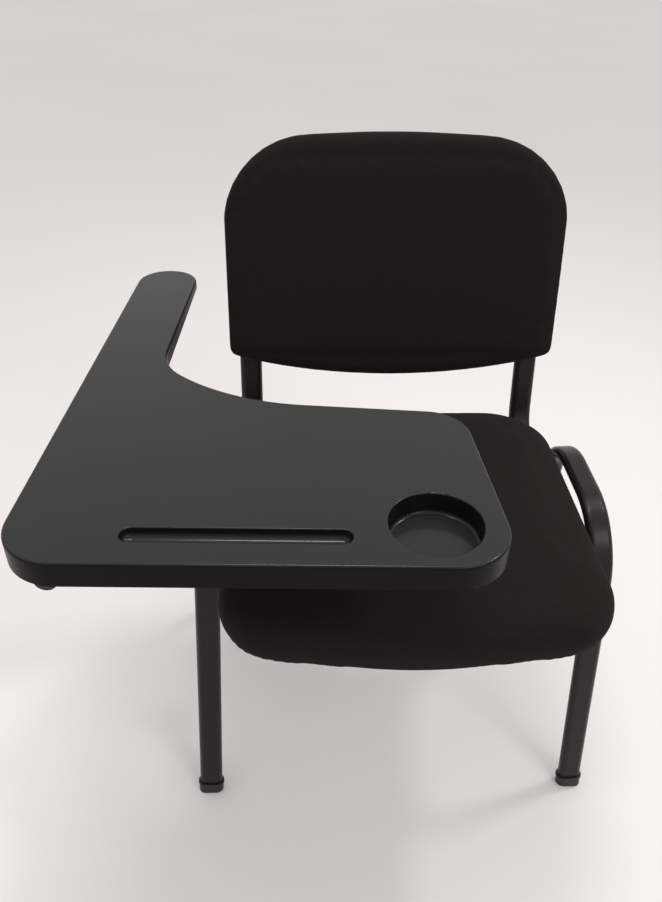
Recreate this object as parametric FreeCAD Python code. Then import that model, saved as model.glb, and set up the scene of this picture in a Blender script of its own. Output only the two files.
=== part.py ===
import FreeCAD, Part
import math
import os
from FreeCAD import Placement, Rotation, Vector

# Tablet arm chair: a frame of flat-oval tube, an upholstered seat and back, and a writing tablet
# that flips up on the sitter's right.
# Millimetres. +Z is up, the sitter faces -Y and the sitter's left is +X.
# The origin is on the floor, on the chair's middle plane, below the middle of the seat.

# Clearances
FIT = 0.1             # between curved faces of pieces that are fixed to each other
RUNNING_FIT = 0.08    # pivot block on hinge tube, on the radius
STOP_GAP = 0.3        # tablet above its rest buffer
BOLT_PLAY = 0.3       # bolt in a clearance hole, on the radius
SLOT_PLAY = 1.0       # back post in the slot of the back shell
COVER_GAP = 0.3       # foam inside its cover

# Flat-oval tube of the frame
TUBE_WIDTH = 30.0
TUBE_THICK = 15.0
TUBE_WALL = 1.5

# Outline of the seat, which the frame, the back and the tablet's arm stand around
SEAT_WIDTH = 424.0
SEAT_FRONT = -227.0
SEAT_FRONT_BOW = 24.0
SEAT_FRONT_BOW_RADIUS = 700.0
SEAT_REAR = 203.0
SEAT_FRONT_CORNER = 69.0
SEAT_REAR_CORNER = 80.0

# Leg frames, each bent from one tube; places are of the tube's centre line
SEAT_SIDE_GAP = 5.0
FOOT_SPLAY = 19.0
ARCH_FRONT_INSET = 177.0
ARCH_REAR_INSET = 53.0
FRONT_RAKE = 48.0
REAR_RAKE = 115.0
ARCH_HALF_SPREAD = SEAT_WIDTH / 2 + SEAT_SIDE_GAP + TUBE_WIDTH / 2
FOOT_HALF_SPREAD = ARCH_HALF_SPREAD + FOOT_SPLAY
ARCH_HEIGHT = 425.0
ARCH_FRONT = SEAT_FRONT + ARCH_FRONT_INSET
ARCH_REAR = SEAT_REAR - ARCH_REAR_INSET
FOOT_FRONT = ARCH_FRONT - FRONT_RAKE
FOOT_REAR = ARCH_REAR + REAR_RAKE
ARCH_BEND = 85.0

# Moulded feet
FOOT_HEIGHT = 17.0
FOOT_FLOOR = 4.0
FOOT_WALL = 1.5
FOOT_LIP = 1.0
FOOT_LIP_HEIGHT = 3.5
FOOT_CHAMFER = 1.5

# Cross rails between the legs
CROSS_DROP = 70.0
CROSS_WIDTH = 25.0
CROSS_THICK = 12.0
CROSS_WALL = 1.5
CROSS_SINK = 4.0

# Back uprights: a seat rail that turns up into a back post
RAIL_INSET = 19.0
RAIL_SETBACK = 99.0
UPRIGHT_HALF_SPREAD = SEAT_WIDTH / 2 - RAIL_INSET
UPRIGHT_BEND = 60.0
UPRIGHT_REACH = 200.0
RAIL_FRONT = SEAT_FRONT + RAIL_SETBACK
PLUG_HEAD = 4.0
PLUG_DEPTH = 16.0

# Seat
PAN_THICK = 3.0
PAN_INSET = 12.0
PAN_EDGE = 1.2
COVER_THICK = 1.5
SEAT_BOARD_THICK = 12.0
SEAT_BOARD_MARGIN = 4.2
SEAT_CUSHION_HEIGHT = 70.0
SEAT_CUSHION_WAIST = 24.0
SEAT_CUSHION_DRAW_IN = 7.0
SEAT_BOARD_INSET = SEAT_CUSHION_DRAW_IN + COVER_THICK + COVER_GAP + SEAT_BOARD_MARGIN
SEAT_CUSHION_BULGE = 5.0
SEAT_CROWN_REACH = 140.0
SEAT_CROWN_SHIFT = -6.0
SEAT_CROWN_FULLNESS = 0.65
SEAT_EDGE_FULLNESS = 0.5
SEAT_SECTION_STEP = 10
SEAT_BOLT_SETBACK = 28.0
SEAT_BOLT_REAR_INSET = 83.0
SEAT_BOLT_FRONT = RAIL_FRONT + SEAT_BOLT_SETBACK
SEAT_BOLT_REAR = SEAT_REAR - SEAT_BOLT_REAR_INSET

# Back, measured on its own plane: across, up the slope, and back from its front face
BACK_TILT = 11.2
BACK_RISE = 105.4
BACK_GAP = 12.0
BACK_SETBACK = SEAT_REAR + BACK_GAP
BACK_WIDER = 17.0
BACK_TOP_WIDER = 2.0
BACK_WIDTH = SEAT_WIDTH + BACK_WIDER
BACK_TOP_WIDTH = BACK_WIDTH + BACK_TOP_WIDER
BACK_HOLLOW = 1100.0
BACK_TOP = 309.0
BACK_TOP_CORNER_DROP = 10.0
BACK_TOP_CORNER = 111.0
BACK_TOP_BOW = 1500.0
BACK_BOTTOM = -40.5
BACK_BOTTOM_CORNER_RISE = 66.5
BACK_BOTTOM_CORNER = 13.0
BACK_BOTTOM_BOW = 710.0
BACK_PAD = 34.5
BACK_PAD_CROWN = 3.0
BACK_PAD_EDGE = 14.0
BACK_PAD_REAR_EDGE = 3.0
BACK_PAD_FULLNESS = 6.0
BACK_SECTION_STEP = 7
BACK_SECTION_LAST = 84
BACK_BOARD_THICK = 8.0
BACK_BOARD_INSET = 9.0
BACK_SHELL_WALL = 2.5
BACK_SHELL_INSET = 2.5
BACK_SHELL_EDGE = 7.0
BACK_SHELL_CLEARANCE = 1.0
BACK_BOLT_LOW = 60.0
BACK_BOLT_HIGH = 160.0
PEG_RADIUS = 5.0
PEG_HALF_SPREAD = 110.0
PEG_LOW = 70.0
PEG_HIGH = 240.0
SPACER_RADIUS = 12.0
SPACER_LEAST = 0.6
INSERT_RADIUS = 5.0

# Bolts, nuts and washers, all of one size
BOLT_RADIUS = 3.0
BOLT_HEAD_ACROSS = 10.0
BOLT_HEAD_HEIGHT = 4.0
WASHER_RADIUS = 6.5
WASHER_THICK = 1.5
NUT_HEIGHT = 5.0
BOLT_TAIL = 2.0
TEE_NUT_FLANGE = 9.0
TEE_NUT_FLANGE_THICK = 1.5
TEE_NUT_BARREL = 4.0

# Writing tablet, measured from its hinge line: across from it, and along it to the rear
HINGE_OUT = 88.0
HINGE_X = -SEAT_WIDTH / 2 - HINGE_OUT
HINGE_TOE = 3.3
HINGE_DROP = 29.0
TABLET_RISE = 200.0
TABLET_SKIRT = 23.0
TABLET_WALL = 3.0
TABLET_EDGE = 2.2
ARM_OUTER = 38.0
ARM_INNER = 34.0
ARM_REAR = 239.0
ARM_END_RADIUS = 35.0
ARM_END_SKIRT = 8.0
PANEL_FRONT_OUTER = -312.0
PANEL_FRONT_INNER = -300.0
PANEL_REACH_FRONT = 364.0
PANEL_REACH_REAR = 338.0
PANEL_REAR = -86.5
PANEL_OUTER_CORNER = 48.0
PANEL_FRONT_CORNER = 46.0
PANEL_REAR_CORNER = 40.0
ELBOW_ARM = -8.6
ELBOW_ARM_RADIUS = 68.0
ELBOW_PANEL_REACH = 114.6
ELBOW_PANEL = -76.2
ELBOW_PANEL_RADIUS = 210.0
CUP_RADIUS = 38.0
CUP_SIDE_MARGIN = 26.0
CUP_FRONT_MARGIN = 13.0
CUP_REACH = PANEL_REACH_FRONT - CUP_SIDE_MARGIN - CUP_RADIUS
CUP_SETBACK = CUP_FRONT_MARGIN + CUP_RADIUS
GROOVE_START = 55.0
GROOVE_CUP_GAP = 27.0
GROOVE_LENGTH = CUP_REACH - CUP_RADIUS - GROOVE_CUP_GAP - GROOVE_START
GROOVE_WIDTH = 16.5
GROOVE_DEPTH = 8.4
GROOVE_SETBACK = 33.6
GROOVE_FLOOR_ROUND = 7.0
CUP_DEPTH = 20.0
CUP_FLOOR_ROUND = 4.0
CUP_WALL = 2.5
RIM_ROUND = 1.2
RIB_THICK = 2.2
RIB_HEIGHT = 10.0
RIB_FIRST = 116.0
RIB_PITCH = 46.0
RIB_COUNT = 5
RIB_ROWS = (-125.0, -175.0, -225.0)

# Hinge tube under the tablet, and what is on it
HINGE_RADIUS = 9.0
HINGE_WALL = 1.8
HINGE_FRONT_SETBACK = 16.0
HINGE_REAR_INSET = 34.0
HINGE_FRONT = PANEL_FRONT_OUTER + HINGE_FRONT_SETBACK
HINGE_REAR = ARM_REAR - HINGE_REAR_INSET
CAP_HEAD = 4.5
CAP_RADIUS = 9.5
CAP_DEPTH = 14.0
CAP_EDGE = 2.0
BLOCK_FRONT_SETBACK = 50.0
BLOCK_REAR_INSET = 69.0
BLOCK_FRONT = HINGE_FRONT + BLOCK_FRONT_SETBACK
BLOCK_REAR = HINGE_REAR - BLOCK_REAR_INSET
BLOCK_LENGTH = 32.0
BLOCK_WIDTH = 48.0
BLOCK_RISE = 18.0
BLOCK_FLANGE = 6.0
BLOCK_RADIUS = 13.5
BLOCK_PAD_MARGIN = 2.0
SCREW_RADIUS = 2.0
SCREW_HEAD_RADIUS = 3.6
SCREW_HEAD_HEIGHT = 2.4
SCREW_SIDE = 5.0
SCREW_END = 7.0
SCREW_ACROSS = BLOCK_WIDTH / 2 - SCREW_SIDE
SCREW_ALONG = BLOCK_LENGTH / 2 - SCREW_END
SCREW_SKIN = 3.5
SWING = 95.0
PIN_RADIUS = 2.5
PIN_REACH = 15.0
PIN_NOTCH = 8.0
TONGUE_ALONG = -182.0
TONGUE_WIDTH = 36.0
TONGUE_THICK = 5.0
TONGUE_TOP = 7.5
TONGUE_ROUND = 10.0
TONGUE_END = 6.0
BUFFER_REACH = 80.0
BUFFER_RADIUS = 10.0
TONGUE_REACH = BUFFER_REACH + BUFFER_RADIUS + TONGUE_END
BUFFER_STEM = 4.0
BUFFER_BUTTON = 6.5
BUFFER_BUTTON_THICK = 3.0

# Post that carries the hinge tube, and its plate on the right leg frame
POST_RADIUS = 10.0
POST_WALL = 2.0
POST_STOP = 4.0
PLATE_WIDTH = 32.0
PLATE_THICK = 5.0
PLATE_CORNER = 4.0
PLATE_BOLT_SPACING = 40.0
PLATE_END = 8.0
PLATE_LENGTH = PLATE_BOLT_SPACING + 2 * PLATE_END

# Heights that follow from the sizes above
SPLAY = math.degrees(math.atan((FOOT_HALF_SPREAD - ARCH_HALF_SPREAD) / ARCH_HEIGHT))
CROSS_HEIGHT = ARCH_HEIGHT - CROSS_DROP
RAIL_HEIGHT = CROSS_HEIGHT + CROSS_WIDTH / 2 + FIT + TUBE_THICK / 2
SEAT_BASE = RAIL_HEIGHT + TUBE_THICK / 2
BOARD_BASE = SEAT_BASE + PAN_THICK
BOARD_TOP = BOARD_BASE + SEAT_BOARD_THICK
TABLET_TOP = ARCH_HEIGHT + TABLET_RISE
TABLET_UNDER = TABLET_TOP - TABLET_WALL
HINGE_HEIGHT = TABLET_TOP - HINGE_DROP
BLOCK_TOP = HINGE_HEIGHT + BLOCK_RISE
BACK_HALF = BACK_WIDTH / 2

# Lengths that only help the construction: longer than the chair, and too short to matter
FAR = 2000.0
TINY = 0.001
LEAST_RADIUS = 0.2

ACROSS = Vector(1, 0, 0)
UP = Vector(0, 0, 1)


# Shape helpers

def moved(shape, placement):
    return shape.transformed(placement.toMatrix(), True)


def facing(place, direction, across):
    """Placement that turns +Z along a direction and +X across it."""
    return Placement(place, Rotation(across, direction.cross(across), direction, "ZXY"))


def square_to(direction):
    other = Vector(0, 1, 0) if abs(direction.x) > abs(direction.y) else ACROSS
    return direction.cross(other)


def half_angle(before, corner, after):
    return (before - corner).getAngle(after - corner) / 2


def corner_arc(before, corner, after, radius):
    """Start, middle and end of the arc that rounds one corner of a path."""
    back = (before - corner).normalize()
    ahead = (after - corner).normalize()
    half = half_angle(before, corner, after)
    reach = radius / math.tan(half)
    inward = (back + ahead).normalize() * (radius / math.sin(half) - radius)
    return corner + back * reach, corner + inward, corner + ahead * reach


def fitted_radii(points, radii):
    """Corner radii, made smaller where two corners would need more than the run between them."""
    count = len(points)
    followers = points[1:] + points[:1]
    halves = [half_angle(points[index - 1], points[index], followers[index]) for index in range(count)]
    shares = [1.0] * count
    for index in range(count):
        run = (points[index] - points[index - 1]).Length
        wanted = radii[index] / math.tan(halves[index]) + radii[index - 1] / math.tan(halves[index - 1])
        share = min(1.0, run / wanted)
        shares[index] = min(shares[index], share)
        shares[index - 1] = min(shares[index - 1], share)
    return [radius * share for radius, share in zip(radii, shares)]


def rounded_wire(points, radii, closed):
    """Straight runs joined by tangent arcs."""
    count = len(points)
    fitted = fitted_radii(points, radii) if closed else radii
    stops = []
    for index, point in enumerate(points):
        if closed or 0 < index < count - 1:
            after = points[(index + 1) % count]
            stops.append(corner_arc(points[index - 1], point, after, fitted[index]))
        else:
            stops.append((point, point, point))
    edges = []
    for index, (start, middle, end) in enumerate(stops):
        leaving = stops[index - 1][2]
        if (closed or index > 0) and leaving.distanceToPoint(start) > TINY:
            edges.append(Part.LineSegment(leaving, start).toShape())
        if start.distanceToPoint(end) > TINY:
            edges.append(Part.Arc(start, middle, end).toShape())
    return Part.Wire(edges)


def outline(corners):
    """Closed outline in the XY plane from (x, y, corner radius), counterclockwise."""
    points = [Vector(x, y, 0) for x, y, radius in corners]
    return rounded_wire(points, [radius for x, y, radius in corners], True)


def inset(corners, distance):
    """The same outline moved inward, with its round corners kept concentric."""
    count = len(corners)
    result = []
    for index, (x, y, radius) in enumerate(corners):
        here = Vector(x, y, 0)
        arriving = here - Vector(*corners[index - 1][:2], 0)
        leaving = Vector(*corners[(index + 1) % count][:2], 0) - here
        first = UP.cross(arriving).normalize()
        second = UP.cross(leaving).normalize()
        corner = here + (first + second) * (distance / (1 + first.dot(second)))
        outward = arriving.cross(leaving).z > 0
        changed = radius - distance if outward else radius + distance
        result.append((corner.x, corner.y, max(changed, LEAST_RADIUS)))
    return result


def prism(corners, bottom, top):
    face = Part.Face(outline(corners))
    face.translate(Vector(0, 0, bottom))
    return face.extrude(Vector(0, 0, top - bottom))


def block(low, high):
    size = high - low
    return Part.makeBox(size.x, size.y, size.z, low)


def rod(start, end, radius):
    return Part.makeCylinder(radius, (end - start).Length, start, end - start)


def oval(width, thick):
    radius = thick / 2
    low = (-width / 2, -radius, radius)
    return [low, (width / 2, -radius, radius), (width / 2, radius, radius), (-width / 2, radius, radius)]


def oval_bar(start, end, across, width, thick):
    bar = prism(oval(width, thick), 0, (end - start).Length)
    return moved(bar, facing(start, end - start, across))


def bent_bar(points, bend, width, thick):
    """Flat-oval bar along a path in a plane of constant X, its wide side along X."""
    path = rounded_wire(points, [bend] * len(points), False)
    profile = moved(outline(oval(width, thick)), facing(points[0], points[1] - points[0], ACROSS))
    return path.makePipeShell([profile], True, False)


def bent_tube(points, bend):
    bore = bent_bar(points, bend, TUBE_WIDTH - 2 * TUBE_WALL, TUBE_THICK - 2 * TUBE_WALL)
    return bent_bar(points, bend, TUBE_WIDTH, TUBE_THICK).cut(bore)


def hexagon(start, direction, across_flats, height):
    radius = across_flats / math.sqrt(3)
    angles = [math.radians(60 * index) for index in range(7)]
    points = [Vector(radius * math.cos(angle), radius * math.sin(angle), 0) for angle in angles]
    solid = Part.Face(Part.makePolygon(points)).extrude(Vector(0, 0, height))
    return moved(solid, facing(start, direction, square_to(direction)))


def hex_bolt(seat, direction, length):
    """Bolt whose head sits on a face at seat and whose shank runs along direction."""
    step = Vector(direction).normalize()
    shank = rod(seat - step * (BOLT_HEAD_HEIGHT / 2), seat + step * length, BOLT_RADIUS)
    return hexagon(seat, -step, BOLT_HEAD_ACROSS, BOLT_HEAD_HEIGHT).fuse(shank).removeSplitter()


def ring(start, end, outer, inner):
    return rod(start, end, outer).cut(rod(start, end, inner))


def edges_at(shape, height):
    return [edge for edge in shape.Edges if abs(edge.BoundBox.ZMin - height) < TINY
            and abs(edge.BoundBox.ZMax - height) < TINY]


# Leg frames, in a plane of their own that leans outward to the feet

def leg_place(side):
    """From the leg frame's own plane, with Z from the arch's centre line, to the chair."""
    arch = Vector(side * ARCH_HALF_SPREAD, 0, ARCH_HEIGHT)
    return Placement(arch, Rotation(Vector(0, 1, 0), -side * SPLAY))


def leg_corners():
    down = -ARCH_HEIGHT / math.cos(math.radians(SPLAY))
    return [Vector(0, FOOT_FRONT, down), Vector(0, ARCH_FRONT, 0), Vector(0, ARCH_REAR, 0),
            Vector(0, FOOT_REAR, down)]


def leg_path():
    """The corners, with both legs carried on below the floor to be cut there."""
    front, front_top, rear_top, rear = leg_corners()
    spare = 2 * FOOT_HEIGHT
    front = front + (front - front_top).normalize() * spare
    rear = rear + (rear - rear_top).normalize() * spare
    return [front, front_top, rear_top, rear]


def below(height):
    return block(Vector(-FAR, -FAR, -FAR), Vector(FAR, FAR, height))


def leg_envelope(side, margin):
    bar = bent_bar(leg_path(), ARCH_BEND, TUBE_WIDTH + 2 * margin, TUBE_THICK + 2 * margin)
    return moved(bar, leg_place(side))


def leg_frame(side):
    return moved(bent_tube(leg_path(), ARCH_BEND), leg_place(side)).cut(below(FOOT_FLOOR))


def foot(side, end):
    corners = leg_corners()
    ground, top = (corners[0], corners[1]) if end == "front" else (corners[3], corners[2])
    rise = (top - ground).normalize()
    width = TUBE_WIDTH + 2 * FOOT_WALL
    thick = TUBE_THICK + 2 * FOOT_WALL
    crest = ground + rise * FOOT_HEIGHT
    sleeve = oval_bar(ground - rise * FOOT_HEIGHT, crest, ACROSS, width, thick)
    lip = oval_bar(crest - rise * FOOT_LIP_HEIGHT, crest, ACROSS, width + 2 * FOOT_LIP, thick + 2 * FOOT_LIP)
    cap = moved(sleeve.fuse(lip), leg_place(side)).cut(below(0))
    cap = cap.makeChamfer(FOOT_CHAMFER, edges_at(cap, 0))
    return cap.cut(leg_envelope(side, FIT).cut(below(FOOT_FLOOR)))


def leg_centre(end):
    """Centre of one leg at the cross rails' height, measured out from the middle plane and back."""
    front, front_top, rear_top, rear = leg_corners()
    drop = CROSS_DROP / math.cos(math.radians(SPLAY))
    ground, top, sign = (front, front_top, -1) if end == "front" else (rear, rear_top, 1)
    other = rear_top if end == "front" else front_top
    start, middle, stop = corner_arc(ground, top, other, ARCH_BEND)
    on_bend = -start.z > drop
    bend_back = math.sqrt(ARCH_BEND ** 2 - (ARCH_BEND - drop) ** 2) if on_bend else 0
    straight_back = ground.y + (top.y - ground.y) * (1 - drop / -ground.z)
    back = stop.y + sign * bend_back if on_bend else straight_back
    return ARCH_HALF_SPREAD + drop * math.sin(math.radians(SPLAY)), back


def cross_rail(end):
    out, back = leg_centre(end)
    reach = out - TUBE_WIDTH / 2 + CROSS_SINK
    left = Vector(reach, back, CROSS_HEIGHT)
    right = Vector(-reach, back, CROSS_HEIGHT)
    bore = oval_bar(right, left, UP, CROSS_WIDTH - 2 * CROSS_WALL, CROSS_THICK - 2 * CROSS_WALL)
    rail = oval_bar(right, left, UP, CROSS_WIDTH, CROSS_THICK).cut(bore)
    return rail.cut(leg_envelope(1, FIT)).cut(leg_envelope(-1, FIT))


# Back plane and back uprights

def back_place():
    """From the back's own plane, X across, Z up the slope and Y to the rear, to the chair."""
    return Placement(Vector(0, BACK_SETBACK, SEAT_BASE + BACK_RISE), Rotation(ACROSS, -BACK_TILT))


def hollow_depth(across):
    """How far the hollow front face stands forward of its middle at a distance across."""
    return BACK_HOLLOW - math.sqrt(BACK_HOLLOW ** 2 - across ** 2)


def post_front():
    """Depth of the back posts' front face, just behind the curved board."""
    return BACK_PAD - hollow_depth(UPRIGHT_HALF_SPREAD - SPACER_RADIUS) + SPACER_LEAST


def post_centre():
    return post_front() + TUBE_THICK / 2


def shell_rear():
    """Depth of the back shell's rear face, which clears the bolt heads behind the posts."""
    head_reach = hollow_depth(UPRIGHT_HALF_SPREAD + BOLT_HEAD_ACROSS / 2)
    return post_front() + TUBE_THICK + BOLT_HEAD_HEIGHT + BACK_SHELL_CLEARANCE + head_reach + BACK_SHELL_WALL


BACK_SHELL_DEPTH = shell_rear() - BACK_PAD
BACK_REAR = BACK_PAD + BACK_SHELL_DEPTH


def on_back(across, depth, rise):
    return back_place().multVec(Vector(across, depth, rise))


def upright_points(side):
    out = side * UPRIGHT_HALF_SPREAD
    low = on_back(out, post_centre(), 0)
    top = on_back(out, post_centre(), UPRIGHT_REACH)
    slope = (top.y - low.y) / (top.z - low.z)
    turn = Vector(out, low.y - slope * (low.z - RAIL_HEIGHT), RAIL_HEIGHT)
    return [Vector(out, RAIL_FRONT, RAIL_HEIGHT), turn, top]


def seat_bolt_places():
    return [(side * UPRIGHT_HALF_SPREAD, back) for side in (1, -1)
            for back in (SEAT_BOLT_FRONT, SEAT_BOLT_REAR)]


def back_bolt_places():
    return [(side * UPRIGHT_HALF_SPREAD, rise) for side in (1, -1)
            for rise in (BACK_BOLT_LOW, BACK_BOLT_HIGH)]


def seat_holes(radius):
    holes = [rod(Vector(x, y, 0), Vector(x, y, FAR), radius) for x, y in seat_bolt_places()]
    return Part.makeCompound(holes)


def back_holes(radius):
    """Bolt holes through the back, in the back's own plane."""
    holes = [rod(Vector(x, -BACK_REAR, rise), Vector(x, 2 * BACK_REAR, rise), radius)
             for x, rise in back_bolt_places()]
    return Part.makeCompound(holes)


def back_upright(side):
    tube = bent_tube(upright_points(side), UPRIGHT_BEND)
    tube = tube.cut(seat_holes(BOLT_RADIUS + BOLT_PLAY))
    return tube.cut(moved(back_holes(BOLT_RADIUS + BOLT_PLAY), back_place()))


def rail_plug(side):
    end = upright_points(side)[0]
    front = end - Vector(0, PLUG_HEAD, 0)
    rear = end + Vector(0, PLUG_DEPTH, 0)
    gap = 2 * TUBE_WALL + 2 * FIT
    head = oval_bar(front, end, ACROSS, TUBE_WIDTH, TUBE_THICK)
    return head.fuse(oval_bar(front, rear, ACROSS, TUBE_WIDTH - gap, TUBE_THICK - gap)).removeSplitter()


# Seat

def seat_corners():
    half = SEAT_WIDTH / 2
    shoulder = SEAT_FRONT + SEAT_FRONT_BOW
    return [(0, SEAT_FRONT, SEAT_FRONT_BOW_RADIUS), (half, shoulder, SEAT_FRONT_CORNER),
            (half, SEAT_REAR, SEAT_REAR_CORNER), (-half, SEAT_REAR, SEAT_REAR_CORNER),
            (-half, shoulder, SEAT_FRONT_CORNER)]


def seat_section(height, draw_in, shift):
    """The seat's outline drawn in evenly about its middle, at a height."""
    factor = 1 - 2 * draw_in / SEAT_WIDTH
    middle = (SEAT_FRONT + SEAT_REAR) / 2
    corners = [(x * factor, middle + (y - middle) * factor, radius * factor)
               for x, y, radius in seat_corners()]
    return outline(corners).translated(Vector(0, shift, height))


def seat_cushion(margin):
    """Crowned cushion with drawn-in sides; margin is how far it lies inside the cover."""
    under = seat_section(BOARD_BASE, margin + SEAT_CUSHION_DRAW_IN, 0)
    side_draw_in = SEAT_CUSHION_DRAW_IN - SEAT_CUSHION_BULGE
    side = seat_section(BOARD_BASE + SEAT_CUSHION_WAIST / 2, margin + side_draw_in, 0)
    sections = [under, side]
    crown = SEAT_CUSHION_HEIGHT - SEAT_CUSHION_WAIST - margin
    for angle in range(0, 91, SEAT_SECTION_STEP):
        turn = math.radians(angle)
        height = BOARD_BASE + SEAT_CUSHION_WAIST + crown * math.sin(turn) ** SEAT_CROWN_FULLNESS
        draw_in = SEAT_CROWN_REACH * (1 - max(math.cos(turn), 0) ** SEAT_EDGE_FULLNESS)
        sections.append(seat_section(height, margin + draw_in, SEAT_CROWN_SHIFT * math.sin(turn)))
    return Part.makeLoft(sections, True, True)


def seat_pan():
    pan = prism(inset(seat_corners(), PAN_INSET), SEAT_BASE, BOARD_BASE)
    pan = pan.makeFillet(PAN_EDGE, edges_at(pan, SEAT_BASE))
    return pan.cut(seat_holes(BOLT_RADIUS + BOLT_PLAY))


def seat_board():
    board = prism(inset(seat_corners(), SEAT_BOARD_INSET), BOARD_BASE, BOARD_TOP)
    return board.cut(seat_holes(TEE_NUT_BARREL + FIT))


def seat_bolt_length():
    return WASHER_THICK + TUBE_THICK + PAN_THICK + SEAT_BOARD_THICK + TEE_NUT_FLANGE_THICK + BOLT_TAIL


def seat_foam():
    foam = seat_cushion(COVER_THICK + COVER_GAP)
    board = prism(inset(seat_corners(), SEAT_BOARD_INSET - FIT), BOARD_BASE - SEAT_BOARD_THICK, BOARD_TOP)
    foam = foam.cut(board)
    for x, y in seat_bolt_places():
        seat = Vector(x, y, BOARD_TOP)
        flange_top = seat + UP * (TEE_NUT_FLANGE_THICK + FIT)
        foam = foam.cut(rod(seat - UP, flange_top, TEE_NUT_FLANGE + FIT))
        foam = foam.cut(rod(seat, flange_top + UP * BOLT_TAIL, BOLT_RADIUS + FIT))
    return foam


def seat_cover():
    return seat_cushion(0).cut(seat_cushion(COVER_THICK))


def tee_nut(x, y):
    seat = Vector(x, y, BOARD_TOP)
    flange = rod(seat, seat + UP * TEE_NUT_FLANGE_THICK, TEE_NUT_FLANGE)
    barrel = rod(Vector(x, y, BOARD_BASE), seat + UP * TEE_NUT_FLANGE_THICK, TEE_NUT_BARREL)
    bore = rod(Vector(x, y, 0), Vector(x, y, FAR), BOLT_RADIUS + FIT)
    return flange.fuse(barrel).removeSplitter().cut(bore)


def seat_bolt(x, y):
    seat = Vector(x, y, SEAT_BASE - TUBE_THICK - WASHER_THICK)
    return hex_bolt(seat, UP, seat_bolt_length())


def seat_washer(x, y):
    top = Vector(x, y, SEAT_BASE - TUBE_THICK)
    return ring(top - UP * WASHER_THICK, top, WASHER_RADIUS, BOLT_RADIUS + BOLT_PLAY)


# Back, built in its own plane

def back_corners():
    low_side = BACK_BOTTOM + BACK_BOTTOM_CORNER_RISE
    high_side = BACK_TOP - BACK_TOP_CORNER_DROP
    return [(0, BACK_BOTTOM, BACK_BOTTOM_BOW), (BACK_HALF, low_side, BACK_BOTTOM_CORNER),
            (BACK_TOP_WIDTH / 2, high_side, BACK_TOP_CORNER), (0, BACK_TOP, BACK_TOP_BOW),
            (-BACK_TOP_WIDTH / 2, high_side, BACK_TOP_CORNER),
            (-BACK_HALF, low_side, BACK_BOTTOM_CORNER)]


def back_prism(distance):
    """The back's outline drawn straight through its whole depth."""
    upright = prism(inset(back_corners(), distance), -2 * BACK_REAR, 2 * BACK_REAR)
    return moved(upright, Placement(Vector(), Rotation(ACROSS, 90)))


def front_of(depth):
    """Everything in front of the curved face at a depth."""
    foot_point = Vector(0, -BACK_HOLLOW, 2 * BACK_BOTTOM - BACK_HALF)
    return Part.makeCylinder(BACK_HOLLOW + depth, 2 * BACK_TOP + BACK_WIDTH, foot_point, UP)


def curved_plate(distance, front, rear):
    return back_prism(distance).common(front_of(rear)).cut(front_of(front))


def back_side(rise, margin):
    """Half width of the back at a height, less a margin."""
    low_side = BACK_BOTTOM + BACK_BOTTOM_CORNER_RISE
    high_side = BACK_TOP - BACK_TOP_CORNER_DROP
    spread = (BACK_TOP_WIDTH / 2 - BACK_HALF) * (rise - low_side) / (high_side - low_side)
    return BACK_HALF + spread - margin


def back_section(share, low, high, margin):
    """Section of the back pad on a plane at a share of the way from its middle to its side."""
    body = (1 - abs(share) ** BACK_PAD_FULLNESS) ** (1 / BACK_PAD_FULLNESS)
    rear = BACK_PAD - hollow_depth(share * (BACK_HALF - margin)) + BACK_PAD_REAR_EDGE
    front = rear - BACK_PAD_REAR_EDGE - (BACK_PAD - margin) * body
    edge = BACK_PAD_EDGE * body
    crown = BACK_PAD_CROWN * body
    middle = (low + high) / 2
    bow = ((high - low) / 4) ** 2 / crown
    corners = [(front + crown, high, edge), (front, middle, bow), (front + crown, low, edge),
               (rear, low, BACK_PAD_REAR_EDGE), (rear, high, BACK_PAD_REAR_EDGE)]
    points = [Vector(share * back_side(rise, margin), depth, rise) for depth, rise, radius in corners]
    return rounded_wire(points, [radius for depth, rise, radius in corners], True)


def back_cushion(margin):
    """Pad that follows the hollow of the back, crowned in front and drawn in at its sides."""
    face = Part.Face(outline(inset(back_corners(), margin)))
    sections = []
    for angle in range(-BACK_SECTION_LAST, BACK_SECTION_LAST + 1, BACK_SECTION_STEP):
        share = math.sin(math.radians(angle))
        low_end = Vector(share * back_side(-BACK_TOP, margin), -BACK_TOP, 0)
        high_end = Vector(share * back_side(2 * BACK_TOP, margin), 2 * BACK_TOP, 0)
        chord = Part.makeLine(low_end, high_end).common(face).BoundBox
        sections.append(back_section(share, chord.YMin, chord.YMax, margin))
    return Part.makeLoft(sections, True, True)


def back_cover():
    outer = back_cushion(0).common(front_of(BACK_PAD))
    return outer.cut(back_cushion(COVER_THICK))


def back_foam():
    foam = back_cushion(COVER_THICK + COVER_GAP).common(front_of(BACK_PAD))
    socket = curved_plate(BACK_BOARD_INSET - FIT, BACK_PAD - BACK_BOARD_THICK - FIT, BACK_REAR)
    return foam.cut(socket)


def back_board():
    board = curved_plate(BACK_BOARD_INSET, BACK_PAD - BACK_BOARD_THICK, BACK_PAD)
    return board.cut(back_holes(INSERT_RADIUS + FIT))


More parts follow.
